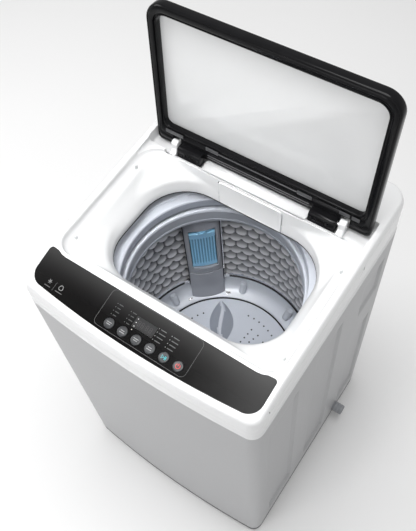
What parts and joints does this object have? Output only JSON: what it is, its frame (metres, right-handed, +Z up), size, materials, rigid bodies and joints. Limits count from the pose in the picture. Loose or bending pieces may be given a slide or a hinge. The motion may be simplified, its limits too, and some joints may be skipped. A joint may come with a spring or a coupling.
{
  "type": "top load washing machine",
  "caption": "Top load washing machine: steel cabinet, moulded top with a glazed lid, hung tub, spinning drum, pulsator and belt drive.",
  "frame": {"origin": "centre of the underside of the machine's bounding box, on the floor between the feet", "axes": "+Z up, front towards -Y, the drain outlet on the +X side"},
  "size_m": [0.568, 0.592, 1.2084],
  "materials": {
    "steel_paint": "silver-grey paint, satin",
    "white_plastic": "white, glossy",
    "black_gloss": "black, high gloss",
    "glass": "clear, polished",
    "grey_plastic": "blue-grey, satin",
    "light_grey": "light grey, satin",
    "dark_plastic": "charcoal, matt",
    "stainless": "embossed stainless steel",
    "blue_plastic": "blue, satin",
    "bare_steel": "bright zinc",
    "aluminium": "as cast",
    "rubber": "black, matt",
    "board_green": "solder mask",
    "button_grey": "charcoal, satin"
  },
  "bodies": {
    "cabinet": {"cabinet_shell": "steel_paint", "back_panel": "steel_paint", "cable_gland": "dark_plastic", "base_frame": "dark_plastic", "foot_rear_left": "rubber", "foot_rear_right": "rubber", "top_cover": "white_plastic", "control_fascia": "black_gloss", "display_window": "black_gloss", "control_board": "board_green", "lid_switch": "dark_plastic", "drawer_housing": "white_plastic", "water_inlet_valve": "white_plastic", "drain_spigot": "grey_plastic", "drain_hose": "grey_plastic", "capacitor": "light_grey", "bracket_front_left": "bare_steel", "bracket_front_right": "bare_steel", "bracket_rear_left": "bare_steel", "bracket_rear_right": "bare_steel", "rod_front_left": "bare_steel", "rod_front_right": "bare_steel", "rod_rear_left": "bare_steel", "rod_rear_right": "bare_steel", "spring_front_left": "bare_steel", "spring_front_right": "bare_steel", "spring_rear_left": "bare_steel", "spring_rear_right": "bare_steel"},
    "left_foot": {"foot_front_left": "rubber"},
    "right_foot": {"foot_front_right": "rubber"},
    "lid": {"lid_frame": "black_gloss", "lid_glass": "glass", "hinge_pin_left": "bare_steel", "hinge_pin_right": "bare_steel"},
    "drawer": {"detergent_drawer": "light_grey"},
    "program_key": {"program_button": "button_grey"},
    "water_key": {"water_button": "button_grey"},
    "timer_key": {"timer_button": "button_grey"},
    "option_key": {"option_button": "button_grey"},
    "start_pause_key": {"start_pause_button": "button_grey"},
    "power_key": {"power_button": "button_grey"},
    "tub": {"outer_tub": "light_grey", "tub_ring": "grey_plastic", "clutch_housing": "aluminium", "mounting_plate": "bare_steel", "motor": "bare_steel", "drive_belt": "rubber", "drain_valve": "dark_plastic"},
    "basket": {"spin_drum": "stainless", "balance_ring": "grey_plastic", "drum_base": "grey_plastic", "filter_column": "grey_plastic", "spin_shaft": "aluminium"},
    "lint_cassette": {"lint_filter": "blue_plastic"},
    "agitator": {"pulsator": "light_grey", "pulsator_screw": "bare_steel", "drive_shaft": "bare_steel"},
    "clutch_wheel": {"clutch_pulley": "aluminium"},
    "motor_wheel": {"motor_pulley": "aluminium"}
  },
  "joints": [
    {"name": "lid_hinge", "type": "hinge", "parent": "cabinet", "child": "lid", "pos_m": [-0.014, 0.142, 0.882], "axis": [1, 0, 0], "range_deg": [0, 96.2]},
    {"name": "drawer_slide", "type": "slide", "parent": "cabinet", "child": "drawer", "axis": [0, -1, 0], "range_m": [0, 0.06]},
    {"name": "program_press", "type": "slide", "parent": "cabinet", "child": "program_key", "axis": [0, 0.2214, -0.9752], "range_m": [0, 0.0015], "stiffness_N_per_m": 800, "springref_m": -0.001},
    {"name": "water_press", "type": "slide", "parent": "cabinet", "child": "water_key", "axis": [0, 0.2214, -0.9752], "range_m": [0, 0.0015], "stiffness_N_per_m": 800, "springref_m": -0.001},
    {"name": "timer_press", "type": "slide", "parent": "cabinet", "child": "timer_key", "axis": [0, 0.2214, -0.9752], "range_m": [0, 0.0015], "stiffness_N_per_m": 800, "springref_m": -0.001},
    {"name": "option_press", "type": "slide", "parent": "cabinet", "child": "option_key", "axis": [0, 0.2214, -0.9752], "range_m": [0, 0.0015], "stiffness_N_per_m": 800, "springref_m": -0.001},
    {"name": "start_pause_press", "type": "slide", "parent": "cabinet", "child": "start_pause_key", "axis": [0, 0.2214, -0.9752], "range_m": [0, 0.0015], "stiffness_N_per_m": 800, "springref_m": -0.001},
    {"name": "power_press", "type": "slide", "parent": "cabinet", "child": "power_key", "axis": [0, 0.2214, -0.9752], "range_m": [0, 0.0015], "stiffness_N_per_m": 800, "springref_m": -0.001},
    {"name": "tub_bounce", "type": "slide", "parent": "cabinet", "child": "tub", "axis": [0, 0, 1], "range_m": [-0.012, 0.012], "stiffness_N_per_m": 24000, "springref_m": 0.01315, "deforming": ["spring_front_left", "spring_front_right", "spring_rear_left", "spring_rear_right", "drain_hose"]},
    {"name": "basket_spin", "type": "hinge", "parent": "tub", "child": "basket", "pos_m": [-0.014, -0.022, 0.3], "axis": [0, 0, 1], "continuous": true},
    {"name": "lint_filter_hinge", "type": "hinge", "parent": "basket", "child": "lint_cassette", "pos_m": [-0.15787, 0.1296, 0.46], "axis": [0.7254, 0.6884, 0], "range_deg": [0, 35]},
    {"name": "agitator_spin", "type": "hinge", "parent": "tub", "child": "agitator", "pos_m": [-0.014, -0.022, 0.3], "axis": [0, 0, 1], "continuous": true},
    {"name": "clutch_wheel_spin", "type": "hinge", "parent": "tub", "child": "clutch_wheel", "pos_m": [-0.014, -0.022, 0.132], "axis": [0, 0, 1], "continuous": true},
    {"name": "motor_wheel_spin", "type": "hinge", "parent": "tub", "child": "motor_wheel", "pos_m": [0.118, -0.022, 0.132], "axis": [0, 0, 1], "continuous": true},
    {"name": "left_foot_turn", "type": "hinge", "parent": "cabinet", "child": "left_foot", "pos_m": [-0.238, -0.238, 0.01], "axis": [0, 0, 1], "continuous": true},
    {"name": "right_foot_turn", "type": "hinge", "parent": "cabinet", "child": "right_foot", "pos_m": [0.21, -0.238, 0.01], "axis": [0, 0, 1], "continuous": true}
  ],
  "couplings": [
    {"joint": "clutch_wheel_spin", "follows": "agitator_spin", "ratio": 4.8},
    {"joint": "motor_wheel_spin", "follows": "agitator_spin", "ratio": 17.684}
  ]
}
